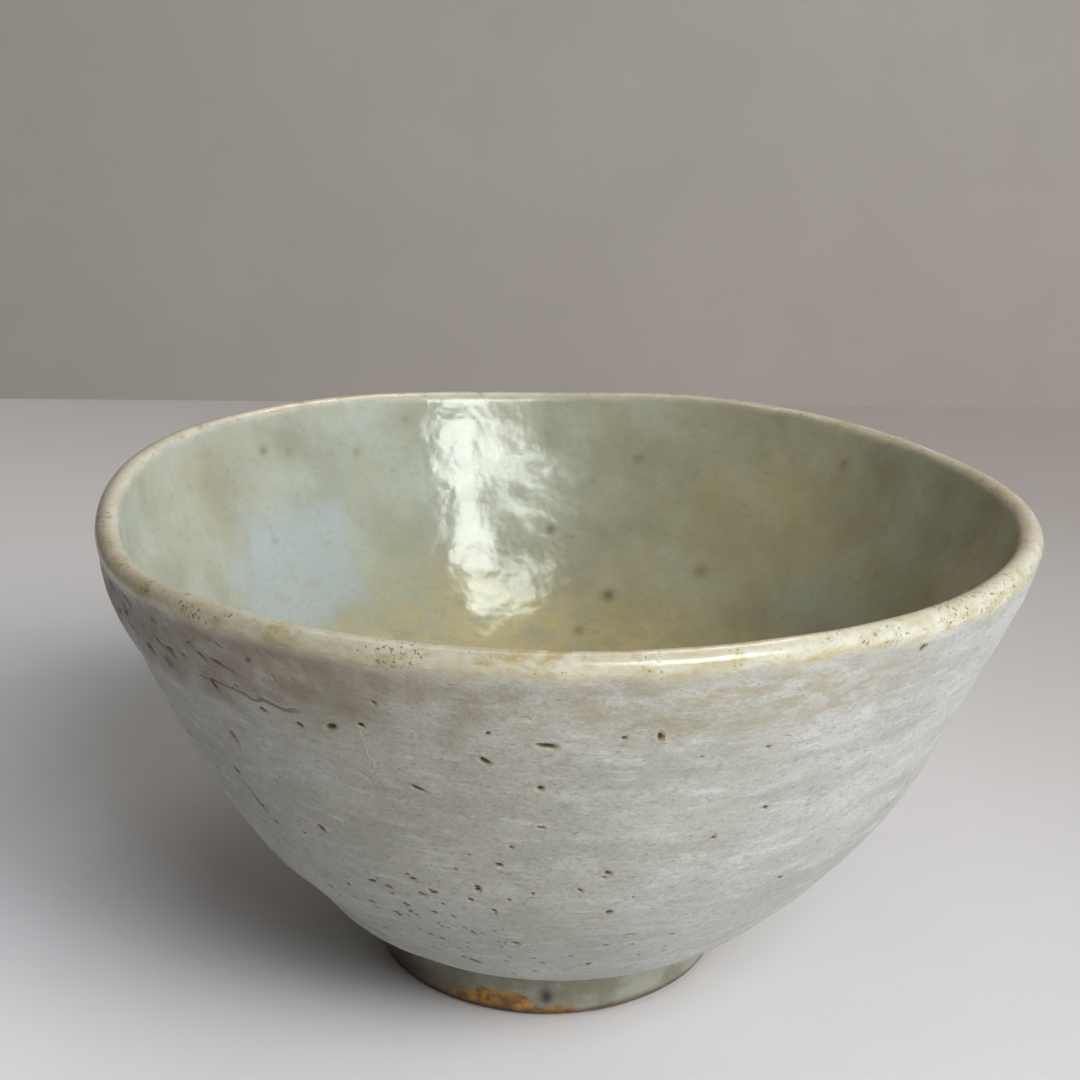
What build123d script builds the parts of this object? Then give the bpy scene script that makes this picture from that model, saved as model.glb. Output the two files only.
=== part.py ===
from build123d import *

import math
import os

# A hand-thrown matcha bowl. Millimetres, +Z up. The origin is the centre of the foot ring's
# resting face. Every piece is a solid of revolution about Z, drawn as a half section (radius, height).

# Driving dimensions.
BOWL_HEIGHT = 72.6          # table to the top of the lip
RIM_RADIUS = 67.5           # widest point, at the rounded lip
LIP_RADIUS = 1.7            # half the lip's thickness, glaze included
LIP_LEAN = 17.0             # degrees the wall leans outwards at the lip
LIP_BAND = 3.4              # straight height of the double-glazed band below the lip's round
FOOT_HEIGHT = 7.6           # table to the seat where the bowl meets the foot ring
FOOT_RADIUS = 27.4          # foot ring's outside at the table, glaze included
FOOT_FLARE = 0.8            # how much wider the foot ring is at the seat than at the table
FOOT_INNER_RADIUS = 21.8    # foot ring's inside at the table
FOOT_INNER_TAPER = 1.0      # how much narrower the recess is at its ceiling
FOOT_EDGE = 0.9             # radius worn on the foot ring's outer edge
RECESS_PEAK = 1.6           # height of the turned point that hangs from the recess ceiling
CAVITY_FLOOR = 12.6         # table to the glaze surface at the bottom of the tea well
WELL_RADIUS = 26.5          # edge of the glaze pool in the tea well
WELL_EDGE_HEIGHT = 15.9     # table to the glaze surface at the edge of the pool
WELL_SLOPE = 18.0           # degrees the tea well rises at that edge

# Glaze thicknesses.
GLAZE = 0.5                 # inner, outer and lip coats
FOOT_GLAZE = 0.4            # thin coat on the foot ring's outside
POOL_GLAZE = 1.3            # glaze run together in the middle of the tea well

# The wall from the foot to the lip band: height, outer radius, and thickness square to the wall.
# The lowest station only shapes the belly: the tea well lies above it.
BELLY = (11.7, 35.3)
WALL = [
    (16.6, 40.5, 6.4),
    (23.5, 46.3, 5.6),
    (33.4, 52.8, 4.9),
    (45.3, 58.4, 4.3),
    (59.2, 63.8, 3.8),
]


def at(radius, height):
    """A point of the half section."""
    return Vector(radius, 0, height)


def heading(degrees):
    """A unit direction in the half section, measured up from the horizontal."""
    return at(math.cos(math.radians(degrees)), math.sin(math.radians(degrees)))


def inwards(points, depths):
    """The points of a rising outline, each moved square to it, towards the axis, by its own depth."""
    moved = []
    for i, (point, depth) in enumerate(zip(points, depths)):
        before = points[max(i - 1, 0)]
        after = points[min(i + 1, len(points) - 1)]
        along = (after - before).normalized()
        moved.append(point + at(-along.Z, along.X) * depth)
    return moved


def turned(*edges):
    """The solid of revolution about Z of the closed half section."""
    return revolve(make_face(Wire(list(edges))), Axis.Z, 360)


def straight(*points):
    """Straight edges from point to point."""
    return [Line(a, b) for a, b in zip(points, points[1:])]


# The lip: a half round on two straight legs that lean with the wall.
up_wall = heading(90 - LIP_LEAN)
out_of_wall = heading(-LIP_LEAN)
lip_centre = at(RIM_RADIUS - LIP_RADIUS, BOWL_HEIGHT - LIP_RADIUS)


def lip_points(radius):
    """Outer leg's foot, outer shoulder, crown, inner shoulder and inner leg's foot of the lip's outline."""
    shoulder = out_of_wall * radius
    down = up_wall * LIP_BAND
    return (
        lip_centre + shoulder - down,
        lip_centre + shoulder,
        lip_centre + up_wall * radius,
        lip_centre - shoulder,
        lip_centre - shoulder - down,
    )


def lip_outline(points):
    """The lip's outline through its five points, from the outer leg's foot to the inner leg's foot."""
    outer_foot, outer_shoulder, crown, inner_shoulder, inner_foot = points
    return [
        Line(outer_foot, outer_shoulder),
        ThreePointArc(outer_shoulder, crown, inner_shoulder),
        Line(inner_shoulder, inner_foot),
    ]


lip_skin_points = lip_points(LIP_RADIUS)
lip_clay_points = lip_points(LIP_RADIUS - GLAZE)
lip_skin = lip_outline(lip_skin_points)
lip_clay = lip_outline(lip_clay_points)

# Outlines of the glaze surface, called skin, and of the clay below it.
foot_corner = at(FOOT_RADIUS + FOOT_FLARE, FOOT_HEIGHT)
foot_corner_clay = foot_corner - at(FOOT_GLAZE, 0)
outer_stations = [foot_corner, at(BELLY[1], BELLY[0])]
outer_stations += [at(radius, height) for height, radius, thickness in WALL]
outer_stations.append(lip_skin_points[0])
outer_clay_stations = inwards(outer_stations, [GLAZE] * len(outer_stations))
outer_clay_stations[0] = foot_corner_clay
outer_clay_stations[-1] = lip_clay_points[0]

belly_heading = heading(34)
outer_skin = Spline(*outer_stations, tangents=[belly_heading, up_wall])
outer_clay = Spline(*outer_clay_stations, tangents=[belly_heading, up_wall])

# The first two stations are below the tea well, so they carry no inner surface.
inner_stations = inwards(outer_stations, [0, 0] + [thickness for _, _, thickness in WALL] + [0])[2:-1]
well_edge = at(WELL_RADIUS, WELL_EDGE_HEIGHT)
inner_stations = [well_edge, *inner_stations, lip_skin_points[4]]
inner_clay_stations = inwards(inner_stations, [-GLAZE] * len(inner_stations))
inner_clay_stations[0] = well_edge - heading(90 + WELL_SLOPE) * GLAZE
inner_clay_stations[-1] = lip_clay_points[4]

well_heading = heading(WELL_SLOPE)
inner_skin = Spline(*inner_stations, tangents=[well_heading, up_wall])
inner_clay = Spline(*inner_clay_stations, tangents=[well_heading, up_wall])

level = heading(0)
well_centre = at(0, CAVITY_FLOOR)
well_centre_clay = at(0, CAVITY_FLOOR - POOL_GLAZE)
well_skin = Spline(well_centre, well_edge, tangents=[level, well_heading])
well_clay = Spline(well_centre_clay, inner_clay_stations[0], tangents=[level, well_heading])

# The recess under the bowl, inside the foot ring.
recess_edge = at(FOOT_INNER_RADIUS - FOOT_INNER_TAPER, FOOT_HEIGHT)
recess_centre = at(0, FOOT_HEIGHT - RECESS_PEAK)
recess_ceiling = Spline(recess_centre, recess_edge, tangents=[level, level])


def clay_bowl():
    """The thrown wall and floor, bare clay under its glaze, with a flat seat for the foot ring."""
    return turned(
        recess_ceiling,
        Line(recess_edge, foot_corner_clay),
        outer_clay,
        *lip_clay,
        inner_clay,
        well_clay,
        Line(well_centre_clay, recess_centre),
    )


def foot_ring():
    """The turned clay ring that the bowl stands on, its outer edge worn round."""
    table_outer = FOOT_RADIUS - FOOT_GLAZE
    wear_start = at(table_outer - FOOT_EDGE, 0)
    wear_end = at(table_outer, FOOT_EDGE)
    wear_middle = at(table_outer - FOOT_EDGE, FOOT_EDGE) + heading(-45) * FOOT_EDGE
    table_inner = at(FOOT_INNER_RADIUS, 0)
    return turned(
        Line(table_inner, wear_start),
        ThreePointArc(wear_start, wear_middle, wear_end),
        *straight(wear_end, foot_corner_clay, recess_edge, table_inner),
    )


def foot_glaze():
    """The thin glaze on the foot ring's outside, which stops short of the resting face."""
    clay_edge = at(FOOT_RADIUS - FOOT_GLAZE, FOOT_EDGE)
    skin_edge = at(FOOT_RADIUS, FOOT_EDGE)
    return turned(*straight(clay_edge, skin_edge, foot_corner, foot_corner_clay, clay_edge))


def outer_glaze():
    """The semi-matt coat on the outside, from the foot ring up to the lip band."""
    return turned(
        Line(foot_corner_clay, foot_corner),
        outer_skin,
        Line(lip_skin_points[0], lip_clay_points[0]),
        outer_clay,
    )


def lip_glaze():
    """The band over the lip, where the inner and the outer coat overlap and have run together."""
    return turned(
        *lip_skin,
        Line(lip_skin_points[4], lip_clay_points[4]),
        *lip_clay,
        Line(lip_clay_points[0], lip_skin_points[0]),
    )


def inner_glaze():
    """The glossy coat on the inside wall, from the tea well up to the lip band."""
    return turned(
        Line(inner_clay_stations[0], well_edge),
        inner_skin,
        Line(lip_skin_points[4], lip_clay_points[4]),
        inner_clay,
    )


def well_glaze():
    """The thicker pool of glaze at the bottom of the tea well."""
    return turned(
        well_skin,
        Line(well_edge, inner_clay_stations[0]),
        well_clay,
        Line(well_centre_clay, well_centre),
    )


PIECES = [clay_bowl, foot_ring, foot_glaze, outer_glaze, lip_glaze, inner_glaze, well_glaze]

os.makedirs("parts", exist_ok=True)
for piece in PIECES:
    export_step(piece(), f"parts/{piece.__name__}.step")
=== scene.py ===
"""The looks of a hand-thrown matcha bowl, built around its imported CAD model.

The skin of the bowl is one outline, walked from the foot ring's worn edge up the outside, over the lip and
down to the middle of the tea well. It is read from the CAD coats, swept round Z, and given the shape that
hands and kiln gave it: lumps along the lip, throwing rings, dents, crawled glaze and burst pits. Each coat
is then cut from that skin as a closed shell with its own material. Lengths are in millimetres until a mesh
is made. The tables give angles round the bowl in degrees from +X.
"""

import math

import bmesh
import bpy
import numpy as np
from mathutils import Matrix, Vector, noise


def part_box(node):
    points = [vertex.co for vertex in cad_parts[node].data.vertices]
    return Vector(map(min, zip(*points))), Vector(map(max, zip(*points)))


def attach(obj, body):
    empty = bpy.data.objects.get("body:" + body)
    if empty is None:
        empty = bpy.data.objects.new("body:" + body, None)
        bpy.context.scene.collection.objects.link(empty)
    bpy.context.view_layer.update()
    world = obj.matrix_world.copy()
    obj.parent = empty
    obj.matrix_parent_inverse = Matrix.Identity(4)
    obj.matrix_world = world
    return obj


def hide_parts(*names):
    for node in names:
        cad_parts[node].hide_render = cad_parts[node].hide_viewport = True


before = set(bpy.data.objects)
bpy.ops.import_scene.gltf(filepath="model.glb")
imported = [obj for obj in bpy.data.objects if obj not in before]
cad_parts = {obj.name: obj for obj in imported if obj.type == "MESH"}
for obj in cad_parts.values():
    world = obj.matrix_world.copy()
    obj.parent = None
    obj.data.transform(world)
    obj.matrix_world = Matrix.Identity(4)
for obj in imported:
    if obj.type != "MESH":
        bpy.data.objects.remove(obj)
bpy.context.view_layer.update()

MM = 0.001
WELD = 0.001                # points closer than this are one point
SEAT = 0.03                 # gap between the coarse clay body and the backs of the coats
CORNER = math.radians(35)   # a section turns this much at a corner
CREASE = math.radians(50)   # a mesh edge sharper than this is not smoothed over
SHORTEST_SIDE = 2           # a coat's side is longer than this, its edges are shorter
COLUMNS = 540               # vertices round a coat
BODY_COLUMNS = 240          # and round the clay bowl
RING_COLUMNS = 420          # and round the foot ring
BACK_ROWS = 17              # rows of vertices on the back of a coat

# The coats, in the order their skins follow each other: which way the skin faces, and the gap between rows.
COATS = {
    "foot_glaze": ((1, 0), 0.45),
    "outer_glaze": ((1, 0), 0.68),
    "lip_glaze": ((0, 1), 0.34),
    "inner_glaze": ((-1, 0), 0.75),
    "well_glaze": ((0, 1), 0.90),
}


# ---------------------------------------------------------------- the outline, read from the CAD nodes


def section_paths(node):
    """The node's edges in the half plane towards +X, as paths of (radius, height) in mm."""
    bm = bmesh.new()
    bm.from_mesh(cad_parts[node].data)
    bmesh.ops.remove_doubles(bm, verts=bm.verts, dist=WELD * MM)
    near = WELD * MM
    links = {v: [] for v in bm.verts if abs(v.co.y) < near and v.co.x > -near}
    for edge in bm.edges:
        a, b = edge.verts
        if a in links and b in links:
            links[a].append(b)
            links[b].append(a)
    paths = []
    unused = set(links)
    while unused:
        ends = [v for v in unused if len(links[v]) == 1]
        here = min(ends or unused, key=lambda v: (v.co.z, v.co.x))
        path = []
        while here is not None:
            unused.discard(here)
            path.append((here.co.x / MM, here.co.z / MM))
            here = next((v for v in links[here] if v in unused), None)
        if len(path) > 1:
            paths.append(np.array(path))
    bm.free()
    return paths


def sides(path):
    """The path cut at its corners."""
    steps = np.diff(path, axis=0)
    headings = np.arctan2(steps[:, 1], steps[:, 0])
    turns = np.abs((np.diff(headings) + math.pi) % math.tau - math.pi)
    cuts = [0, *(np.flatnonzero(turns > CORNER) + 1), len(path) - 1]
    return [path[a:b + 1] for a, b in zip(cuts, cuts[1:])]


def length_along(path):
    """The distance travelled along a path to each of its points."""
    steps = np.linalg.norm(np.diff(path, axis=0), axis=1)
    return np.concatenate([[0], np.cumsum(steps)])


def even(path, spacing):
    """The path with its points an even distance apart, both ends kept."""
    travelled = length_along(path)
    marks = np.linspace(0, travelled[-1], max(2, round(travelled[-1] / spacing) + 1))
    return np.column_stack([np.interp(marks, travelled, path[:, i]) for i in range(2)])


def skin_side(node, facing):
    """The side of a coat's section that faces out of the bowl's wall."""
    found = [side for path in section_paths(node) for side in sides(path)]
    long_sides = [side for side in found if length_along(side)[-1] > SHORTEST_SIDE]
    return max(long_sides, key=lambda side: (side @ np.array(facing)).max())


class Skin:
    """The whole skin's outline: rows of (radius, height), and the rows that each coat spans."""

    def __init__(self):
        rows = []
        self.span = {}
        for node, (facing, spacing) in COATS.items():
            path = even(skin_side(node, facing), spacing)
            if rows:
                if np.linalg.norm(path[-1] - rows[-1]) < np.linalg.norm(path[0] - rows[-1]):
                    path = path[::-1]
                path = path[1:]
            elif path[0][1] > path[-1][1]:
                path = path[::-1]
            first = max(len(rows) - 1, 0)
            rows.extend(path)
            self.span[node] = (first, len(rows) - 1)
        self.rows = np.array(rows)
        for _ in range(3):      # glass softens every corner it runs over
            self.rows[1:-1] = (self.rows[:-2] + 2 * self.rows[1:-1] + self.rows[2:]) / 4
        self.rows[-1][0] = 0
        self.travel = length_along(self.rows)
        along = np.gradient(self.rows, self.travel, axis=0)
        along /= np.linalg.norm(along, axis=1)[:, None]
        self.facing = np.column_stack([along[:, 1], -along[:, 0]])
        self.crown = self.travel[self.rows[:, 1].argmax()]

    def at(self, travel):
        """Radius, height and the two parts of the facing direction, at each distance along the skin."""
        tracks = [*self.rows.T, *self.facing.T]
        return [np.interp(travel, self.travel, track) for track in tracks]

    def travel_outside(self, height):
        """The distance along the skin at which the outside reaches a height."""
        outside = self.travel < self.crown
        return np.interp(height, self.rows[outside, 1], self.travel[outside])

    def travel_inside(self, height):
        """The distance along the skin at which the inside comes down to a height."""
        inside = self.travel > self.crown
        return np.interp(-np.asarray(height), -self.rows[inside, 1], self.travel[inside])


skin = Skin()
RIM_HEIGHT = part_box("lip_glaze")[1].z / MM
GLAZE = (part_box("lip_glaze")[1].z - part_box("clay_bowl")[1].z) / MM
FOOT_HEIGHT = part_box("foot_ring")[1].z / MM
FOOT_GLAZE = (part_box("foot_glaze")[1].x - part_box("foot_ring")[1].x) / MM
WELL_RADIUS = skin.rows[skin.span["well_glaze"][0]][0]
POOL_GLAZE = skin.rows[-1][1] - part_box("well_glaze")[0].z / MM


# ---------------------------------------------------------------- shape: fields over azimuth and travel


def ease(value, low, high):
    """0 below low, 1 above high, smooth between. Low may be the greater of the two."""
    share = np.clip((value - low) / (high - low), 0, 1)
    return share * share * (3 - 2 * share)


def lump(distance):
    """A bell: 1 at distance 0, near 0 beyond distance 2."""
    return np.exp(-distance ** 2)


def turn(azimuth, centre):
    """Degrees from a centre azimuth, the short way round."""
    return (np.degrees(azimuth) - centre + 180) % 360 - 180


def wobble(points, size, shift=0.0):
    """Smooth noise, about -1 to 1, whose bumps are size mm wide. Size may differ by axis."""
    scaled = points / np.asarray(size) + shift
    return np.fromiter((noise.noise(p) for p in scaled.tolist()), float, len(scaled))


def on_skin(azimuth, travel):
    """Points of the plain turned skin."""
    radius, height = skin.at(travel)[:2]
    return np.column_stack([radius * np.cos(azimuth), radius * np.sin(azimuth), height])


# Slow rises and dips of the lip: azimuth, half width in degrees, rise in mm.
LIP_RISES = [
    (170, 24, 1.0), (145, 24, 0.6), (120, 24, 0.55), (95, 24, -1.05), (70, 24, 0.7), (45, 24, 0.2),
    (20, 24, -0.45), (-20, 20, 0.3), (-66, 17, 0.6), (-95, 20, 0.2), (-148, 16, -1.4),
]
# Patches: azimuth, height, half width in degrees, half height in mm, strength.
# The strength of a swell of the wall is its distance out in mm.
WALL_SWELLS = [
    (-172, 74, 24, 7, -1.1), (-165, 63, 22, 4.5, 0.8), (-152, 26, 30, 8, 0.5), (-18, 65, 14, 5, 0.5),
    (-25, 33, 30, 10, 0.6),
]
INNER_SWELLS = [(96, 51, 9, 9, 0.5), (88, 66, 4, 4, 0.3)]
CRAWLED = [(-137, 66, 22, 5.5, 1)]
SMUDGES = [(-76, 65, 20, 4.5, 1), (-58, 66, 14, 3, 0.7), (-108, 69, 14, 3, 0.6), (60, 60, 30, 6, 0.3)]
TEA_STAINS = [(117, 38, 14, 8, 0.8)]
OLIVE_STAINS = [(160, 58, 12, 14, 0.4), (45, 55, 25, 12, 0.5)]
BLUE_POOL = [(149, 47, 20, 13, 1.2)]
BLUE_POOL_EDGE = 131        # azimuth at which that pool ends abruptly
BLUE_CLOUDS = [(33, 44, 8, 6, 0.7), (118, 60, 22, 8, 0.2), (-110, 50, 25, 10, 0.5)]
ROSY = [(-133, 67, 34, 8, 1)]
# painted shade on the foot's left, under the belly
PAINTED_FOOT_SHADE = [(-136, 1.5, 20, 3.5, 1)]
KILN_MARK = [(-89, 4.0, 2.4, 1.7, 1)]

# Above this height the thrown wall begins to stray from round, and most at the lip.
STRAYS_ABOVE = 25
# The wall stands a little off the foot ring's centre, x and y in mm, and is fully there at this height.
WALL_SHIFT = np.array([1.3, 1.4])
SHIFTED_BY = 20


def patches(azimuth, height, rows):
    """The sum of soft patches, each at its full strength in its middle."""
    return sum(
        strength * lump(np.hypot(turn(azimuth, centre) / width, (height - level) / tall))
        for centre, level, width, tall, strength in rows
    )


def form(azimuth, points):
    """How far the thrown wall strays from a turned one: x, y and z, in mm."""
    height = points[:, 2]
    upper = ease(height, STRAYS_ABOVE, RIM_HEIGHT)
    rise = upper * sum(up * lump(turn(azimuth, centre) / width) for centre, width, up in LIP_RISES)
    out = upper * (0.25 * np.cos(2 * azimuth) + 0.2 * np.sin(3 * azimuth + 0.6))
    out += patches(azimuth, height, WALL_SWELLS)
    shift = np.outer(ease(height, FOOT_HEIGHT, SHIFTED_BY), WALL_SHIFT)
    outward = out[:, None] * np.column_stack([np.cos(azimuth), np.sin(azimuth)])
    return np.column_stack([outward + shift, rise])


def broad_relief(azimuth, travel, points):
    """Throwing rings, dents and the turning ledge. Clay and glaze share these."""
    height = points[:, 2]
    outside = ease(travel, skin.crown + 1, skin.crown - 4)
    lip = lump((travel - skin.crown) / 4)
    drift = wobble(points, 38)
    dents = 0.30 * wobble(points, 23, 5.1) + 0.12 * wobble(points, 9, 2.3)
    outer_rings = 0.10 * np.sin(math.tau * (height + 1.6 * drift) / 6.4) * (0.7 + 0.6 * drift)
    ledge = 0.22 * lump((height - 57 + 0.03 * turn(azimuth, -70)) / 0.8) * lump(turn(azimuth, -62) / 24)
    inner_rings = 0.05 * np.sin(math.tau * (height + 6 * drift) / 9)
    finger_marks = 0.055 * wobble(points, 4.5, 4.4)
    swells = patches(azimuth, height, INNER_SWELLS)
    rings = outside * (outer_rings + ledge) + (1 - outside) * (inner_rings + finger_marks + swells)
    above_foot = ease(travel, skin.travel_outside(FOOT_HEIGHT), skin.travel_outside(FOOT_HEIGHT + 4))
    calm_centre = ease(np.hypot(points[:, 0], points[:, 1]), 1, 8)
    return (dents * (1 - 0.6 * lip) + rings * (1 - 0.8 * lip)) * (0.25 + 0.75 * above_foot) * calm_centre


def crawl_share(azimuth, points, outside):
    """Where the outer glaze has crept and torn: a patch under the lip."""
    where = patches(azimuth, points[:, 2], CRAWLED)
    ragged = where + 0.3 * wobble(points, 6, 7.7)
    return outside * ease(where, 0.15, 0.4) * ease(ragged, 0.3, 0.7)


TEAR_DEPTH = 0.32
TEAR_LEAN = 42              # degrees below level, towards the right


def tears(azimuth, travel, points):
    """How deep the tears in the crept glaze are, 0 to 1: short grooves that lean down to the right."""
    across = np.radians(turn(azimuth, -138)) * np.hypot(points[:, 0], points[:, 1])
    over = skin.crown - travel
    lean = math.radians(TEAR_LEAN)
    along = across * math.cos(lean) + over * math.sin(lean)
    square = over * math.cos(lean) - across * math.sin(lean)
    bent = square + 0.8 * wobble(points, 6, 3.3)
    stretched = np.column_stack([along / 3.6, bent / 1.15, np.zeros(len(along))])
    lines = lump(wobble(stretched, 1) / 0.11)
    return lines * ease(wobble(stretched, (0.7, 1.3, 1), 6.1), 0.05, 0.3)


# Pits and dashes worth placing: azimuth, height, half width and half height in mm, slant down to the right.
MARKS = [
    (-91.5, 61, 1.15, 0.32, 5), (-97.5, 58.5, 0.8, 0.35, 35), (-105, 53, 0.95, 0.3, 25),
    (-92, 54.5, 0.38, 0.36, 0), (-92, 48.5, 0.5, 0.22, 10), (-80.5, 62, 0.38, 0.65, -10),
    (-84, 62, 0.3, 0.25, 0), (-84, 41, 0.5, 0.3, 10), (-83, 33.5, 0.42, 0.5, 30),
    (-100, 36.5, 0.45, 0.32, 20), (-72, 45.5, 0.32, 0.3, 0), (-79, 27.5, 0.5, 0.26, 0),
    (-78, 24.5, 0.3, 0.28, 0), (-105, 17, 0.95, 0.38, 12), (-96, 25, 0.65, 0.42, 30),
    (-120.5, 42, 0.65, 0.4, 40), (-130, 53, 0.9, 0.35, 65), (-133.5, 46.5, 0.55, 0.45, 60),
    (-132, 42, 2.6, 0.2, 62), (-113, 34, 0.6, 0.25, 20), (-108, 34, 0.5, 0.25, 20),
    (-52, 68.5, 0.5, 0.45, -50), (-24, 37, 1.4, 0.35, -20), (-53, 71, 0.45, 0.28, 0),
    (-129, 61.5, 0.75, 0.35, 50), (-113.5, 60.2, 0.9, 0.4, -25), (-110, 61.4, 0.45, 0.35, 0),
    (-84, 18.5, 0.36, 0.36, 0), (-108, 65, 0.4, 0.22, 30),
]
MARK_DEPTH = 0.34
SCATTERED = 170             # further pits, placed at random
SCATTERED_DEPTH = 0.24
SEED = 7


def all_pits():
    """All pits outside, a row each: azimuth, travel, half width, half height, slant, depth and rust."""
    rng = np.random.default_rng(SEED)
    pits = []
    for azimuth, height, half_width, half_height, slant in MARKS:
        travel = float(skin.travel_outside(height))
        rust = rng.uniform(0.5, 1)
        pits.append((azimuth, travel, half_width, half_height, slant, MARK_DEPTH, rust))
    for _ in range(SCATTERED):
        coarse = rng.random() < 0.5     # the clay is coarser low down on one side
        azimuth = rng.normal(-110, 15) if coarse else rng.uniform(-180, 180)
        height = rng.normal(27, 7) if coarse else rng.uniform(14, 64)
        half_height = rng.uniform(0.15, 0.28)
        half_width = half_height * rng.uniform(1, 2.4)
        travel = float(skin.travel_outside(np.clip(height, 13, 66)))
        slant = rng.normal(15, 20)
        pits.append((azimuth, travel, half_width, half_height, slant, SCATTERED_DEPTH, rng.uniform(0, 0.7)))
    return np.array(pits)


pits = all_pits()


def pit_distance(pit, azimuth, travel, radius):
    """Distance from a pit's middle, where 1 is its edge."""
    centre, middle, half_width, half_height, slant = pit[:5]
    across = np.radians(turn(azimuth, centre)) * radius
    below = middle - travel
    slant = math.radians(slant)
    along = across * math.cos(slant) + below * math.sin(slant)
    square = below * math.cos(slant) - across * math.sin(slant)
    return np.hypot(along / half_width, square / half_height)


def pit_fields(azimuth, travel, points):
    """Depth in mm, how open each point is, and how rusty, from all the pits together."""
    radius = np.hypot(points[:, 0], points[:, 1])
    depth = np.zeros(len(points))
    opened = np.zeros(len(points))
    rust = np.zeros(len(points))
    for pit in pits:
        reach = 3 * pit[2:4].max() + 0.5
        near = np.abs(travel - pit[1]) < reach
        near &= np.abs(np.radians(turn(azimuth, pit[0]))) * radius < reach
        if not near.any():
            continue
        rough = 0.4 * wobble(points[near], 0.8, pit[1])
        distance = pit_distance(pit, azimuth[near], travel[near], radius[near]) * (1 + rough)
        hollow = np.exp(-distance ** 3)
        raised = 0.22 * lump((distance - 1.5) / 0.4)
        depth[near] += pit[5] * (raised - hollow)
        opened[near] = np.maximum(opened[near], hollow)
        rust[near] = np.maximum(rust[near], pit[6] * lump(distance / 1.6))
    return depth, opened, rust


# ---------------------------------------------------------------- colour fields, carried by the vertices


# Soft iron spots under the inner glaze: azimuth, height, radius in mm, strength.
INNER_SPOTS = [
    (128, 63, 0.8, 0.4), (92, 48, 1.0, 0.7), (79, 37, 1.2, 0.8), (85, 31, 1.1, 0.5), (76, 61, 1.0, 0.4),
    (146, 66, 0.9, 0.6), (141, 65, 1.2, 0.4), (60, 43, 1.3, 0.4), (118, 68, 0.7, 0.3), (38, 66, 1.0, 0.4),
    (150, 52, 0.7, 0.3), (112, 36, 1.1, 0.3), (22, 52, 1.0, 0.3), (-40, 40, 1.2, 0.5), (-95, 52, 1.0, 0.4),
    (-150, 45, 1.1, 0.5), (-120, 30, 1.2, 0.4), (10, 33, 1.3, 0.4),
    (155, 65, 9.0, 0.22), (140, 67, 6.0, 0.16), (28, 66, 5.0, 0.25), (75, 52, 7.0, 0.12),
]


def colour_fields(azimuth, travel, points):
    """The named masks that the glaze shader reads, each from 0 to 1."""
    height = points[:, 2]
    radius = np.hypot(points[:, 0], points[:, 1])
    reach = skin.crown - travel
    frayed = reach + 0.9 * wobble(points, 5, 1.1) + 0.4 * wobble(points, 1.8, 4.2)
    inside = ease(reach, -0.5, -3.0)
    lip = ease(frayed, 4.6, 2.4) * ease(frayed, -2.8, -0.8)
    lip_edge = lump((frayed - 3.0) / 1.1)
    cloud = wobble(points, 11, 9.4)
    fine_cloud = wobble(points, 4, 6.2)

    smudge = patches(azimuth, height, SMUDGES)
    warm_outside = ease(smudge + 0.35 * cloud + 0.3 * fine_cloud, 0.2, 0.9)
    tea = ease(height + 9 * cloud + 4 * fine_cloud, 44, 26) + patches(azimuth, height, TEA_STAINS)
    olive = patches(azimuth, height, OLIVE_STAINS)
    stained = np.clip(tea + olive + 0.35 * ease(cloud + 0.4 * fine_cloud, 0.0, 0.6), 0, 1)
    blue = patches(azimuth, height, BLUE_POOL) * ease(turn(azimuth, BLUE_POOL_EDGE), -2, 4)
    blue += patches(azimuth, height, BLUE_CLOUDS)
    cool = inside * ease(blue + 0.4 * cloud + 0.25 * fine_cloud, 0.25, 0.95)
    warm = (1 - inside) * warm_outside + inside * stained * (1 - 0.8 * cool)

    rose = ease(patches(azimuth, height, ROSY) + 0.3 * fine_cloud, 0.2, 0.7) * (1 - inside)

    spot = np.zeros(len(points))
    for centre, level, size, strength in INNER_SPOTS:
        away = np.hypot(np.radians(turn(azimuth, centre)) * radius, travel - skin.travel_inside(level))
        spot = np.maximum(spot, strength * lump(away * (1 + 0.3 * fine_cloud) / size))
    spot *= inside

    foot_top = skin.travel_outside(FOOT_HEIGHT)
    foot = ease(travel, foot_top + 0.2, foot_top - 0.5)
    bare_edge = 4.6 + 2.2 * wobble(points, 3.2, 8.8) - 0.17 * np.abs(turn(azimuth, -101.5))
    bare = foot * ease(height, bare_edge + 0.5, bare_edge - 0.5)
    # a scorched bottom edge, and painted shade on the foot's left under the belly
    scorch = ease(height, 1.9 + 0.8 * fine_cloud + 0.5 * cloud, 1.0)
    scorch = foot * np.maximum(scorch, patches(azimuth, height, PAINTED_FOOT_SHADE))
    kiln_mark = foot * patches(azimuth, height + 0.7 * fine_cloud, KILN_MARK)
    return {
        # floor marks the low inside, painted lighter there partly as light on the well floor
        "inside": inside, "lip": lip, "lip_edge": lip_edge, "floor": ease(height, 42, 28),
        "warm": warm, "cool": cool, "rose": rose, "spot": spot,
        "foot": foot, "bare": bare, "scorch": scorch, "kiln_mark": kiln_mark,
    }


# ---------------------------------------------------------------- meshes


def place(azimuth, travel, depth=0.0, fine=False):
    """Points of the finished skin, or depth mm below it, with the colour fields if fine."""
    points = on_skin(azimuth, travel)
    facing_out, facing_up = skin.at(travel)[2:]
    relief = broad_relief(azimuth, travel, points) - depth
    fields = None
    if fine:
        outside = ease(travel, skin.crown - 2, skin.crown - 6)
        torn = tears(azimuth, travel, points) * crawl_share(azimuth, points, outside)
        hollow, opened, rust = pit_fields(azimuth, travel, points)
        grain = 0.030 * outside * wobble(points, (3.2, 3.2, 1.1), 1.7)
        relief = relief - TEAR_DEPTH * torn + hollow + grain
        fields = colour_fields(azimuth, travel, points)
        fields.update(torn=torn, pit=opened, rust=rust)
    moved = points + form(azimuth, points)
    moved[:, 0] += relief * facing_out * np.cos(azimuth)
    moved[:, 1] += relief * facing_out * np.sin(azimuth)
    moved[:, 2] += relief * facing_up
    return moved, fields


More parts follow.
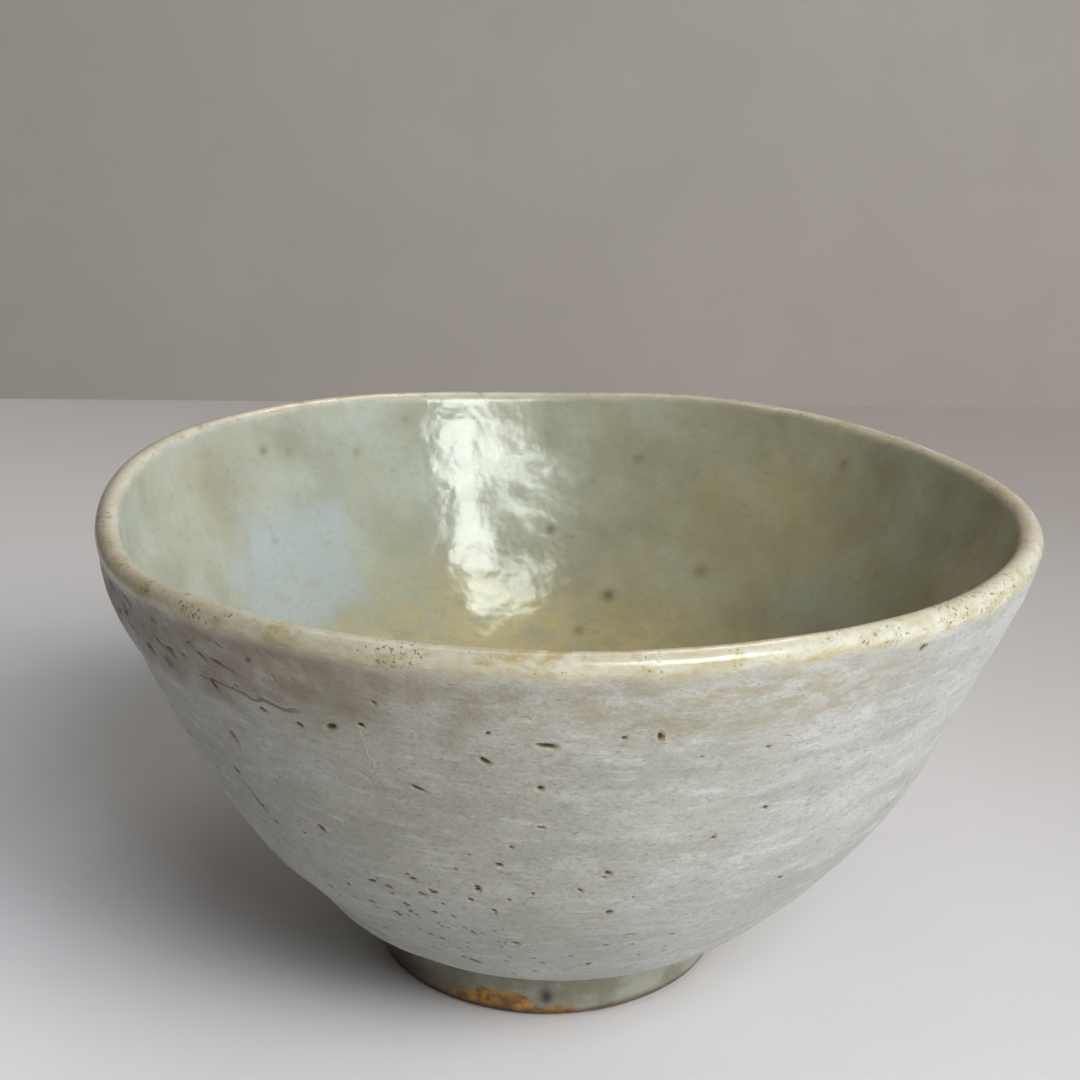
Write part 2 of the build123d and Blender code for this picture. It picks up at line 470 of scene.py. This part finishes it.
def grid_faces(rows, columns, start=0):
    """Quads between rows of vertices, each row columns + 1 long, numbered from start."""
    wide = columns + 1
    corner = start + np.arange(rows - 1)[:, None] * wide + np.arange(columns)
    quads = np.stack([corner, corner + 1, corner + wide + 1, corner + wide], -1)
    return quads.reshape(-1, 4)


def refined_grid(first, last):
    """The skin between two rows as a flat mesh of (azimuth, travel), cut finer round every pit."""
    travels = skin.travel[first:last + 1]
    azimuths = np.linspace(0, math.tau, COLUMNS + 1)
    flat = np.array([(a, t, 0) for t in travels for a in azimuths])
    mesh = bpy.data.meshes.new("flat")
    mesh.from_pydata(flat.tolist(), [], grid_faces(len(travels), COLUMNS).tolist())
    centres = np.zeros(len(mesh.polygons) * 3)
    mesh.polygons.foreach_get("center", centres)
    azimuth, travel = centres.reshape(-1, 3)[:, :2].T
    radius = skin.at(travel)[0]
    wanted = np.zeros(len(azimuth), bool)
    for pit in pits:
        reach = 1.6 + 0.45 / pit[2:4].min()
        wanted |= pit_distance(pit, azimuth, travel, radius) < reach
    points = on_skin(azimuth, travel)
    wanted |= crawl_share(azimuth, points, travel < skin.crown) > 0.1
    wanted &= (travel > travels[2]) & (travel < travels[-3])
    wanted &= (azimuth > azimuths[2]) & (azimuth < azimuths[-3])
    bm = bmesh.new()
    bm.from_mesh(mesh)
    bm.faces.ensure_lookup_table()
    edges = {edge for i in np.flatnonzero(wanted) for edge in bm.faces[i].edges}
    if edges:
        bmesh.ops.subdivide_edges(bm, edges=list(edges), cuts=2, use_grid_fill=True)
        many_sided = [face for face in bm.faces if len(face.verts) > 4]
        bmesh.ops.triangulate(bm, faces=many_sided)
    bm.verts.index_update()
    flat = np.array([v.co for v in bm.verts])
    faces = [[v.index for v in face.verts] for face in bm.faces]
    bm.free()
    bpy.data.meshes.remove(mesh)
    return flat[:, 0], flat[:, 1], faces


def coat_depth(node, travel):
    """How thick the coat is at each place."""
    if node == "foot_glaze":
        return np.full(len(travel), FOOT_GLAZE)
    radius = skin.at(travel)[0]
    pooled = np.where(travel > skin.crown, ease(radius, WELL_RADIUS, 0), 0)
    return GLAZE + (POOL_GLAZE - GLAZE) * pooled


def finish_mesh(name, vertices, faces, fields=None):
    """A smooth-shaded object from points in mm, welded, with its fields as vertex attributes."""
    mesh = bpy.data.meshes.new(name)
    mesh.from_pydata((vertices * MM).tolist(), [], faces)
    for field, values in (fields or {}).items():
        layer = mesh.attributes.new(field, "FLOAT", "POINT")
        layer.data.foreach_set("value", np.asarray(values, np.float32))
    bm = bmesh.new()
    bm.from_mesh(mesh)
    bmesh.ops.remove_doubles(bm, verts=bm.verts, dist=WELD * MM)
    bmesh.ops.dissolve_degenerate(bm, edges=bm.edges, dist=WELD * MM * 0.5)
    bmesh.ops.recalc_face_normals(bm, faces=bm.faces)
    bm.to_mesh(mesh)
    bm.free()
    mesh.shade_smooth()
    mesh.set_sharp_from_angle(angle=CREASE)
    piece = bpy.data.objects.new(name, mesh)
    bpy.context.scene.collection.objects.link(piece)
    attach(piece, "root")
    return piece


def coat(node, name, material):
    """One glaze coat: its detailed skin, a plain back, and the two narrow edges that join them."""
    first, last = skin.span[node]
    azimuth, travel, faces = refined_grid(first, last)
    vertices, fields = place(azimuth, travel, fine=True)
    skin_count = len(vertices)
    wide = COLUMNS + 1
    back_rows = np.unique(np.linspace(first, last, BACK_ROWS).round().astype(int))
    back_azimuth = np.tile(np.linspace(0, math.tau, wide), len(back_rows))
    back_travel = np.repeat(skin.travel[back_rows], wide)
    back, _ = place(back_azimuth, back_travel, coat_depth(node, back_travel))
    faces = faces + grid_faces(len(back_rows), COLUMNS, skin_count)[:, ::-1].tolist()
    last_back = skin_count + (len(back_rows) - 1) * wide
    edge_pairs = [(np.flatnonzero(np.abs(travel - skin.travel[first]) < WELD), skin_count)]
    if skin.rows[last][0] > 0:
        edge_pairs.append((np.flatnonzero(np.abs(travel - skin.travel[last]) < WELD), last_back))
    for row, start in edge_pairs:
        row = row[np.argsort(azimuth[row])]
        for i in range(COLUMNS):
            faces.append([int(row[i]), int(row[i + 1]), start + i + 1, start + i])
    fields = {field: np.concatenate([values, np.zeros(len(back))]) for field, values in fields.items()}
    piece = finish_mesh(name, np.vstack([vertices, back]), faces, fields)
    piece.data.materials.append(material)
    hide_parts(node)
    return piece


def swept_loop(name, rows, columns, moved):
    """A closed ring swept round Z from a closed loop of (radius, height). moved shifts its points."""
    azimuths = np.linspace(0, math.tau, columns + 1)
    closed = np.vstack([rows, rows[:1]])
    azimuth = np.tile(azimuths, len(closed))
    radius, height = np.repeat(closed, columns + 1, axis=0).T
    points = np.column_stack([radius * np.cos(azimuth), radius * np.sin(azimuth), height])
    return finish_mesh(name, moved(points), grid_faces(len(closed), columns).tolist())


def clay_bowl_piece(material):
    """The clay wall and floor under the glaze, with the bare turned recess below."""
    columns = BODY_COLUMNS
    azimuths = np.linspace(0, math.tau, columns + 1)
    corner = float(skin.travel_outside(FOOT_HEIGHT))
    travels = skin.travel[skin.travel >= corner]
    travels = np.append(travels[:-1:2], travels[-1])
    azimuth = np.tile(azimuths, len(travels))
    travel = np.repeat(travels, columns + 1)
    wall, _ = place(azimuth, travel, coat_depth("outer_glaze", travel) + SEAT)
    outline = min(section_paths("clay_bowl"), key=lambda path: path[:, 1].min())
    ceiling = outline[outline[:, 1] < FOOT_HEIGHT + WELD]
    ceiling = even(ceiling[ceiling[:, 0].argsort()], 0.5)
    radius, height = np.repeat(ceiling, columns + 1, axis=0).T
    azimuth = np.tile(azimuths, len(ceiling))
    spiral = 0.10 * np.sin(radius * 2.9 + azimuth) * ease(radius, 0.5, 4)
    below = np.column_stack([radius * np.cos(azimuth), radius * np.sin(azimuth), height + spiral])
    vertices = np.vstack([wall, below])
    count = len(travels) + len(ceiling)
    faces = grid_faces(count, columns).tolist()
    last = (count - 1) * (columns + 1)
    faces += [[i, i + 1, last + i + 1, last + i] for i in range(columns)]
    piece = finish_mesh("clay_bowl_body", vertices, faces)
    piece.data.materials.append(material)
    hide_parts("clay_bowl")
    return piece


def foot_ring_piece(material):
    """The bare clay ring, with small nicks along its lower edge and a gritty resting face."""
    found = [side for path in section_paths("foot_ring") for side in sides(path)]
    walls = [side if side[0][1] < side[-1][1] else side[::-1] for side in found if np.ptp(side[:, 1]) > 0.5]
    middle = np.mean([side[:, 0].mean() for side in walls])
    outer = np.vstack(sorted((s for s in walls if s[:, 0].mean() > middle), key=lambda s: s[0][1]))
    inner = np.vstack([s for s in walls if s[:, 0].mean() < middle])[::-1]
    loop = np.vstack([outer, inner, outer[:1]])
    rows = even(loop[np.append(True, length_along(loop)[1:] > length_along(loop)[:-1])], 0.4)[:-1]

    def worn(points):
        """Small nicks along the edge, none of them below the table."""
        rough = 0.10 * wobble(points, 2.2, 3.1) + 0.05 * wobble(points, 0.7, 6.4)
        low = ease(points[:, 2], 3, 0)
        points[:, 2] += low * np.abs(rough)
        points[:, :2] *= 1 - (low * np.abs(rough) * 0.6 / np.hypot(points[:, 0], points[:, 1]))[:, None]
        return points

    piece = swept_loop("foot_ring_clay", rows, RING_COLUMNS, worn)
    piece.data.materials.append(material)
    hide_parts("foot_ring")
    return piece


# ---------------------------------------------------------------- materials


def srgb(red, green, blue):
    """A colour given as 0 to 255 screen values, as the linear colour that nodes use."""
    linear = []
    for value in (red, green, blue):
        share = value / 255
        linear.append(share / 12.92 if share <= 0.04045 else ((share + 0.055) / 1.055) ** 2.4)
    return (*linear, 1.0)


class Shader:
    """A material's node tree, with a short call for each kind of node used here."""

    def __init__(self, name):
        self.material = bpy.data.materials.new(name)
        self.material.use_nodes = True
        self.tree = self.material.node_tree
        self.tree.nodes.clear()
        self.place = self.node("ShaderNodeTexCoord").outputs["Object"]

    def node(self, kind, inputs=None, **settings):
        """A new node, its inputs linked to sockets or set to values."""
        made = self.tree.nodes.new(kind)
        for key, value in settings.items():
            setattr(made, key, value)
        for key, value in (inputs or {}).items():
            if isinstance(value, bpy.types.NodeSocket):
                self.tree.links.new(value, made.inputs[key])
            else:
                made.inputs[key].default_value = value
        return made

    def field(self, name):
        """A vertex field by name."""
        return self.node("ShaderNodeAttribute", attribute_name=name).outputs["Fac"]

    def math(self, operation, a, b=0.0):
        """Arithmetic on one or two values."""
        return self.node("ShaderNodeMath", {0: a, 1: b}, operation=operation).outputs[0]

    def ease(self, value, low, high):
        """0 at low, 1 at high, smooth between. Low may be the greater of the two."""
        inputs = {"Value": value, "From Min": low, "From Max": high}
        return self.node("ShaderNodeMapRange", inputs, interpolation_type="SMOOTHSTEP").outputs["Result"]

    def spread(self, value, low, high):
        """A 0 to 1 value spread evenly from low to high."""
        inputs = {"Value": value, "To Min": low, "To Max": high}
        return self.node("ShaderNodeMapRange", inputs).outputs["Result"]

    def stretched(self, x, y, z):
        """The place in mm, divided by a size for each axis."""
        scale = tuple(1 / (size * MM) for size in (x, y, z))
        inputs = {0: self.place, 1: scale}
        return self.node("ShaderNodeVectorMath", inputs, operation="MULTIPLY").outputs[0]

    def noise(self, size, detail=3.0, shift=0.0):
        """Cloudy noise from 0 to 1, its clouds size mm wide, or (x, y, z) mm."""
        x, y, z = size if isinstance(size, tuple) else (size, size, size)
        moved = self.node("ShaderNodeVectorMath", {0: self.stretched(x, y, z), 1: (shift, shift, shift)})
        inputs = {"Vector": moved.outputs[0], "Scale": 1.0, "Detail": detail, "Roughness": 0.6}
        return self.node("ShaderNodeTexNoise", inputs).outputs["Fac"]

    def specks(self, cell, radius, share):
        """Scattered round specks: one in each cell mm, radius of a cell wide, in a share of the cells."""
        cells = self.node("ShaderNodeTexVoronoi", {"Vector": self.stretched(cell, cell, cell), "Scale": 1.0})
        chance = self.node("ShaderNodeSeparateColor", {"Color": cells.outputs["Color"]}).outputs["Red"]
        near = self.ease(cells.outputs["Distance"], radius, radius * 0.55)
        chosen = self.math("LESS_THAN", chance, share)
        return self.math("MULTIPLY", near, chosen)

    def blend(self, share, first, second):
        """first where share is 0, second where it is 1."""
        mix = self.node("ShaderNodeMix", data_type="RGBA", clamp_factor=True)
        for socket, value in zip((mix.inputs[0], mix.inputs[6], mix.inputs[7]), (share, first, second)):
            if isinstance(value, bpy.types.NodeSocket):
                self.tree.links.new(value, socket)
            else:
                socket.default_value = value
        return mix.outputs[2]

    def times(self, *values):
        """Values multiplied together."""
        result = values[0]
        for value in values[1:]:
            result = self.math("MULTIPLY", result, value)
        return result

    def bump(self, height, distance, normal=None):
        """A normal from a height field that is distance mm tall."""
        metres = self.times(distance, MM) if isinstance(distance, bpy.types.NodeSocket) else distance * MM
        inputs = {"Height": height, "Distance": metres, "Strength": 1.0}
        if normal:
            inputs["Normal"] = normal
        return self.node("ShaderNodeBump", inputs).outputs["Normal"]

    def surface(self, colour, roughness, normal, specular=0.5):
        """The finished material, with its one plain surface."""
        inputs = {"Base Color": colour, "Roughness": roughness, "Normal": normal}
        inputs["Specular IOR Level"] = specular
        principled = self.node("ShaderNodeBsdfPrincipled", inputs)
        output = self.node("ShaderNodeOutputMaterial")
        self.tree.links.new(principled.outputs[0], output.inputs["Surface"])
        return self.material


def outer_colour(s):
    """Pale grey-white with streaks along the turning, grey flecks, a buff smudge and a rosy crept patch."""
    streaks = s.noise((6, 6, 1.4), 5, 3.0)
    grain = s.noise((1.5, 1.5, 0.7), 4, 8.0)
    dashes = s.noise((0.9, 0.9, 0.35), 2, 14.0)
    colour = s.blend(s.ease(s.noise(14, 4), 0.35, 0.65), srgb(196, 195, 189), srgb(180, 179, 170))
    colour = s.blend(s.times(s.ease(streaks, 0.50, 0.75), 0.8), colour, srgb(213, 213, 208))
    colour = s.blend(s.times(s.ease(streaks, 0.47, 0.25), 0.5), colour, srgb(162, 158, 144))
    colour = s.blend(s.times(s.ease(grain, 0.50, 0.72), 0.55), colour, srgb(152, 149, 137))
    colour = s.blend(s.times(s.ease(dashes, 0.64, 0.74), 0.65), colour, srgb(112, 104, 90))
    weave = s.noise((0.6, 0.6, 0.3), 2, 21.0)
    colour = s.blend(s.times(s.ease(weave, 0.48, 0.66), 0.35), colour, srgb(150, 147, 136))
    smudge = s.times(s.field("warm"), s.ease(s.noise((3, 3, 1.6), 5, 5.0), 0.36, 0.64), 0.7)
    colour = s.blend(smudge, colour, srgb(166, 154, 128))
    rosy = s.times(s.field("rose"), s.ease(s.noise(4, 4, 2.0), 0.15, 0.55), 0.9)
    rose = s.blend(s.ease(s.noise(3, 3, 9.0), 0.35, 0.65), srgb(158, 144, 132), srgb(140, 130, 112))
    colour = s.blend(rosy, colour, rose)
    return s.blend(s.times(s.ease(s.field("torn"), 0.15, 0.8), 0.85), colour, srgb(98, 76, 50))


def inner_colour(s):
    """Pale grey-green glass, bluer in patches, buff where tea has stained it, with soft iron spots, and
    lighter low down, partly as painted light.
    """
    colour = s.blend(s.ease(s.noise(13, 4, 4.0), 0.35, 0.65), srgb(184, 187, 171), srgb(168, 169, 150))
    blue = s.times(s.field("cool"), s.ease(s.noise(7, 4, 1.0), 0.2, 0.5))
    colour = s.blend(blue, colour, srgb(180, 188, 185))
    stain = s.times(s.field("warm"), s.ease(s.noise((8, 8, 5), 5, 6.0), 0.25, 0.55))
    # lower down the tea colour is lighter: partly the stain, partly painted light on the well floor
    tea = s.blend(s.field("floor"), srgb(184, 174, 136), srgb(214, 202, 156))
    colour = s.blend(s.times(stain, 0.8), colour, tea)
    haze = s.ease(s.noise((1.6, 1.6, 0.9), 4, 15.0), 0.5, 0.75)
    colour = s.blend(s.times(haze, 0.3), colour, srgb(150, 146, 122))
    return s.blend(s.field("spot"), colour, srgb(104, 92, 66))


def lip_colour(s):
    """Cream, rubbed thin in ochre clouds, with fine brown specks gathered in places."""
    colour = s.blend(s.ease(s.noise(6, 4, 2.5), 0.35, 0.7), srgb(218, 215, 197), srgb(203, 197, 172))
    rubbed = s.ease(s.noise((1.2, 1.2, 0.7), 4, 19.0), 0.44, 0.72)
    colour = s.blend(s.times(rubbed, 0.5), colour, srgb(186, 180, 154))
    clouds = s.ease(s.noise((3.5, 3.5, 1.6), 5, 7.0), s.spread(s.field("lip_edge"), 0.54, 0.34), 0.72)
    colour = s.blend(s.times(clouds, 0.85), colour, srgb(184, 166, 112))
    crowd = s.ease(s.noise(7, 2, 11.0), 0.40, 0.66)
    dots = s.ease(s.noise(0.45, 3, 17.0), s.spread(crowd, 0.68, 0.55), s.spread(crowd, 0.78, 0.66))
    return s.blend(s.times(dots, 0.8), colour, srgb(116, 90, 54))


def foot_colour(s):
    """Thin grey-green glaze, dirtied by the clay below."""
    return s.blend(s.ease(s.noise(5, 4, 9.0), 0.35, 0.65), srgb(156, 153, 137), srgb(128, 123, 104))


def bare_colour(s):
    """Iron-bearing clay where the glaze missed: orange, with darker scorching."""
    return s.blend(s.ease(s.noise(1.8, 4, 3.5), 0.38, 0.62), srgb(186, 132, 50), srgb(118, 82, 36))


def hairlines(s):
    """Three pale raised threads in the outer glaze: two level ones below the lip, and one running down.

    Returns the threads and a painted shadow: a dark line along the lower side of the first.
    """
    axes = s.node("ShaderNodeSeparateXYZ", {0: s.place})
    azimuth = s.times(s.math("ARCTAN2", axes.outputs["Y"], axes.outputs["X"]), math.degrees(1))
    height = s.math("ADD", s.times(axes.outputs["Z"], 1 / MM), s.spread(s.noise(4, 1, 12.0), -1.4, 1.4))
    sideways = s.math("ADD", azimuth, s.spread(s.noise(3, 1, 5.0), -1.6, 1.6))

    def line(value, middle, half_width):
        away = s.math("ABSOLUTE", s.math("SUBTRACT", value, middle))
        return s.ease(away, half_width * 1.6, half_width * 0.6)

    def between(value, low, high, fade):
        return s.times(s.ease(value, low, low + fade), s.ease(value, high, high - fade))

    first = between(azimuth, -132, -116, 2)
    thread = s.times(line(height, 62.2, 0.09), first)
    # painted shadow under the first thread
    shadow = s.times(line(height, 61.75, 0.26), first)
    second = s.times(line(height, 61.2, 0.08), between(azimuth, -113.5, -108.8, 0.5))
    third = s.times(line(sideways, -109.2, 0.08), between(height, 53, 61.2, 0.5))
    threads = s.math("MAXIMUM", thread, s.math("MAXIMUM", second, third))
    return s.times(threads, s.ease(s.noise(1.6, 2, 4.4), 0.32, 0.46)), shadow


def outside_look(s):
    """Colour of the outer glaze with its pits and threads, and a painted shadow under the first thread."""
    threads, shadow = hairlines(s)
    # the painted shadow under the first thread darkens the glaze there
    colour = s.blend(s.times(shadow, 0.75), outer_colour(s), srgb(96, 80, 58))
    halo = s.times(s.field("rust"), s.ease(s.noise(0.7, 3), 0.3, 0.6), 0.7)
    colour = s.blend(halo, colour, srgb(166, 134, 84))
    colour = s.blend(s.ease(s.field("pit"), 0.15, 0.85), colour, srgb(84, 72, 46))
    return s.blend(s.times(threads, 0.75), colour, srgb(216, 208, 178)), threads


def foot_look(s):
    """Colour of the foot ring's glaze with its bare, scorched edge, and painted shade on its left."""
    bare = s.times(s.field("bare"), s.ease(s.noise(1.2, 4, 1.5), 0.2, 0.5))
    colour = s.blend(bare, foot_colour(s), bare_colour(s))
    # the scorched bottom edge, with painted shade on the foot's left
    colour = s.blend(s.times(s.field("scorch"), 0.85), colour, srgb(72, 50, 32))
    return s.blend(s.field("kiln_mark"), colour, srgb(48, 44, 36))


def glaze_material(name):
    """A coat's fired surface. Neighbouring coats share the zones where they melt into each other."""
    s = Shader(name)
    sees_outside = name in ("outer_glaze", "lip_glaze")
    sees_inside = name in ("inner_glaze", "well_glaze", "lip_glaze")
    inside, lip = s.field("inside"), s.field("lip")
    glassy = s.math("MAXIMUM", inside, s.times(lip, 0.95))
    matt = s.spread(s.noise(5, 4, 2.0), 0.42, 0.58)
    gloss = s.spread(s.noise(2.5, 3, 5.0), 0.12, 0.24)
    roughness = s.node("ShaderNodeMix", {0: glassy, 2: matt, 3: gloss}).outputs[0]
    grain = s.noise((1.0, 1.0, 0.5), 4, 1.0)
    skin_grain = s.times(grain, s.spread(inside, 1.0, 0.05), s.spread(lip, 1.0, 0.45))
    normal = s.bump(skin_grain, 0.10)
    normal = s.bump(s.noise(2.6, 1.5, 3.0), s.spread(inside, 0.06, 0.10), normal)
    normal = s.bump(s.noise(6, 1, 8.0), s.spread(inside, 0.0, 0.20), normal)
    if name == "foot_glaze":
        colour = foot_look(s)
    elif sees_outside:
        colour, threads = outside_look(s)
        normal = s.bump(threads, 0.12, normal)
        roughness = s.node("ShaderNodeMix", {0: s.field("pit"), 2: roughness, 3: 0.85}).outputs[0]
    if sees_inside:
        colour = s.blend(inside, colour, inner_colour(s)) if sees_outside else inner_colour(s)
    if name in ("outer_glaze", "lip_glaze", "inner_glaze"):
        colour = s.blend(lip, colour, lip_colour(s))
    return s.surface(colour, roughness, normal)


def clay_material():
    """Bare stoneware: iron brown, sandy, with pale grog and dark iron."""
    s = Shader("stoneware_clay")
    colour = s.blend(s.ease(s.noise(5, 5), 0.35, 0.65), srgb(150, 106, 62), srgb(112, 80, 50))
    colour = s.blend(s.times(s.specks(0.9, 0.35, 0.4), 0.6), colour, srgb(178, 148, 108))
    colour = s.blend(s.specks(1.4, 0.22, 0.3), colour, srgb(62, 46, 34))
    normal = s.bump(s.noise(0.5, 4, 6.0), 0.12)
    roughness = s.spread(s.noise(3, 2), 0.75, 0.92)
    return s.surface(colour, roughness, normal)


def wall_material():
    """Matt warm grey paint."""
    s = Shader("wall_paint")
    colour = s.blend(s.ease(s.noise(60, 4), 0.3, 0.7), srgb(182, 176, 170), srgb(178, 172, 166))
    return s.surface(colour, 0.9, s.bump(s.noise(2, 2), 0.01))


def under_material():
    """The grey that the bowl's underside is lit by."""
    s = Shader("under_table")
    return s.surface(srgb(206, 206, 207), 0.6, s.bump(s.noise(2, 2), 0.01))


def table_material():
    """A pale matt table with painted shade that darkens it towards its far right."""
    s = Shader("table_top")
    axes = s.node("ShaderNodeSeparateXYZ", {0: s.place})
    # painted shade: the table grows darker towards its far right, away from the lights
    away = s.times(s.math("ADD", axes.outputs["X"], axes.outputs["Y"]), 0.7)
    inputs = {"Value": away, "From Min": -0.1, "From Max": 0.3}
    darker = s.node("ShaderNodeMapRange", inputs).outputs["Result"]
    colour = s.blend(darker, srgb(246, 246, 248), srgb(184, 178, 174))
    colour = s.blend(s.times(s.ease(s.noise(60, 4), 0.3, 0.7), 0.1), colour, srgb(200, 200, 200))
    return s.surface(colour, 0.5, s.bump(s.noise(2, 2), 0.01), 0.2)


# ---------------------------------------------------------------- stage, light and camera


def flat_sheet(name, corners, material):
    """A stage rectangle through four corners in metres."""
    mesh = bpy.data.meshes.new(name)
    mesh.from_pydata(corners, [], [(0, 1, 2, 3)])
    sheet = bpy.data.objects.new(name, mesh)
    sheet.data.materials.append(material)
    bpy.context.scene.collection.objects.link(sheet)
    return sheet


def set_stage():
    """A pale table and, behind it, a plain warm grey wall that stands a little askew.

    Just below the table lies a darker sheet. The bowl is lit from below by that one and not by the table,
    which gets more light than the bowl does. Returns the sheets in view, and the sheet below.
    """
    near, side, tall = -1.6, 2.0, 1.6
    wall_left, wall_right = 0.26, 0.50
    lower = 0.1 * MM
    back_left, back_right = (-side, wall_left, 0), (side, wall_right, 0)
    table_corners = [(-side, near, 0), (side, near, 0), back_right, back_left]
    wall_corners = [back_left, back_right, (side, wall_right, tall), (-side, wall_left, tall)]
    table = flat_sheet("floor", table_corners, table_material())
    table.visible_diffuse = False
    table.visible_shadow = False
    wall = flat_sheet("backdrop", wall_corners, wall_material())
    below = flat_sheet("under_floor", [(x, y, -lower) for x, y, _ in table_corners], under_material())
    return [table, wall], below


def area_light(name, azimuth, elevation, distance, size, power, seen_by="all", aside=(0, 0)):
    """A light aimed at the bowl from a direction in degrees and a distance in m.

    size is its width and height in m, power its red, green and blue watts. aside moves it across its own
    face, to its right and up, in m. seen_by is "diffuse" for a light that no surface mirrors, and "glossy"
    for one that is only mirrored.
    """
    target = Vector((0, 0, RIM_HEIGHT * MM / 2))
    az, el = math.radians(azimuth), math.radians(elevation)
    towards = Vector((math.cos(az) * math.cos(el), math.sin(az) * math.cos(el), math.sin(el)))
    lamp = bpy.data.lights.new(name, "AREA")
    lamp.shape = "RECTANGLE"
    lamp.size, lamp.size_y = size
    lamp.energy = max(power)
    lamp.color = [part / lamp.energy for part in power]
    light = bpy.data.objects.new(name, lamp)
    aimed = towards.to_track_quat("Z", "Y").to_matrix().to_4x4()
    centre = Matrix.Translation(target + towards * distance)
    light.matrix_world = centre @ aimed @ Matrix.Translation((*aside, 0))
    light.visible_glossy = seen_by != "diffuse"
    light.visible_diffuse = seen_by != "glossy"
    bpy.context.scene.collection.objects.link(light)
    return light


def fall_only_on(name, objects, lights):
    """Keep lights to a set of objects. They still cast the shadows of all the others."""
    lit = bpy.data.collections.new(name)
    for piece in objects:
        lit.objects.link(piece)
    for light in lights:
        light.light_linking.receiver_collection = lit


def light_the_bowl(pieces):
    """A window over the viewer's right shoulder, light from the right, and a little from behind.

    The glaze mirrors the window as two panes, for its lower left is covered. It also mirrors the light from
    behind and a long lamp overhead, and none of the rest.
    """
    window = (-63, 36, 0.51)
    mirrored = (-63, 36, 0.48)
    lights = [
        area_light("window", *window, (0.25, 0.25), (1.70, 1.62, 1.41), "diffuse"),
        area_light("window_pane", *mirrored, (0.15, 0.15), (0.98, 1.06, 1.03), "glossy", (0.044, -0.037)),
        area_light("window_top_pane", *mirrored, (0.20, 0.07), (0.46, 0.50, 0.46), "glossy", (-0.016, 0.060)),
        area_light("far_side_light", -20, 20, 2.6, (1.2, 1.2), (13.4, 23.4, 34.9), "diffuse"),
        area_light("near_side_light", -20, 10, 1.2, (0.55, 0.55), (4.3, 3.5, 3.2), "diffuse"),
        area_light("back_light", 68, 52, 0.6, (0.16, 0.16), (0.79, 0.55, 0.38)),
        area_light("long_lamp", 90, 70, 0.7, (0.8, 0.05), (0.80, 0.80, 0.76), "glossy"),
    ]
    fall_only_on("bowl_lit", pieces, lights)


def light_the_stage(sheets):
    """Lights for the table and wall alone, which make the bowl's shadow there deeper than its own shading."""
    lights = [
        area_light("stage_window", -60, 45, 0.75, (0.345, 0.345), (2.60, 2.80, 3.20)),
        area_light("stage_side", -32, 32, 2.6, (1.2, 1.2), (39.0, 36.0, 31.5)),
        area_light("stage_top", 0, 88, 1.2, (0.55, 0.55), (1.45, 1.50, 1.45)),
    ]
    fall_only_on("stage_lit", sheets, lights)


def set_mood():
    """A room that looks pale from any side but gives nearly no light, seen without any film look."""
    scene = bpy.context.scene
    scene.world = bpy.data.worlds.new("room")
    scene.world.use_nodes = True
    nodes, links = scene.world.node_tree.nodes, scene.world.node_tree.links
    seen = nodes.new("ShaderNodeLightPath")
    shade = nodes.new("ShaderNodeMix")
    shade.data_type = "RGBA"
    shade.inputs["A"].default_value = (0.01, 0.01, 0.01, 1)
    shade.inputs["B"].default_value = srgb(176, 170, 164)
    links.new(seen.outputs["Is Camera Ray"], shade.inputs["Factor"])
    links.new(shade.outputs["Result"], nodes["Background"].inputs["Color"])
    scene.view_settings.view_transform = "Standard"


def set_camera():
    """A hand-held view from just above the near rim."""
    distance, height = 0.1987, 0.1291
    pitch, yaw, roll = 0.317, -0.0101, 0.0194   # radians: down, to the right, clockwise
    ahead = Vector((math.sin(yaw) * math.cos(pitch), math.cos(yaw) * math.cos(pitch), -math.sin(pitch)))
    level = Vector((math.cos(yaw), -math.sin(yaw), 0))
    over = level.cross(ahead)
    right = math.cos(roll) * level + math.sin(roll) * over
    up = math.cos(roll) * over - math.sin(roll) * level
    data = bpy.data.cameras.new("camera")
    data.sensor_width = 36
    data.lens = 46.667
    data.clip_start = 0.01
    camera = bpy.data.objects.new("camera", data)
    turned = Matrix((right, up, -ahead)).transposed().to_4x4()
    camera.matrix_world = Matrix.Translation((0.0, -distance, height)) @ turned
    bpy.context.scene.collection.objects.link(camera)
    bpy.context.scene.camera = camera


# ---------------------------------------------------------------- the bowl


clay = clay_material()
bowl_pieces = [clay_bowl_piece(clay), foot_ring_piece(clay)]
for coat_node in COATS:
    bowl_pieces.append(coat(coat_node, coat_node + "_coat", glaze_material(coat_node)))

sheets_in_view, sheet_below = set_stage()
light_the_bowl([*bowl_pieces, sheet_below])
light_the_stage(sheets_in_view)
set_mood()
set_camera()
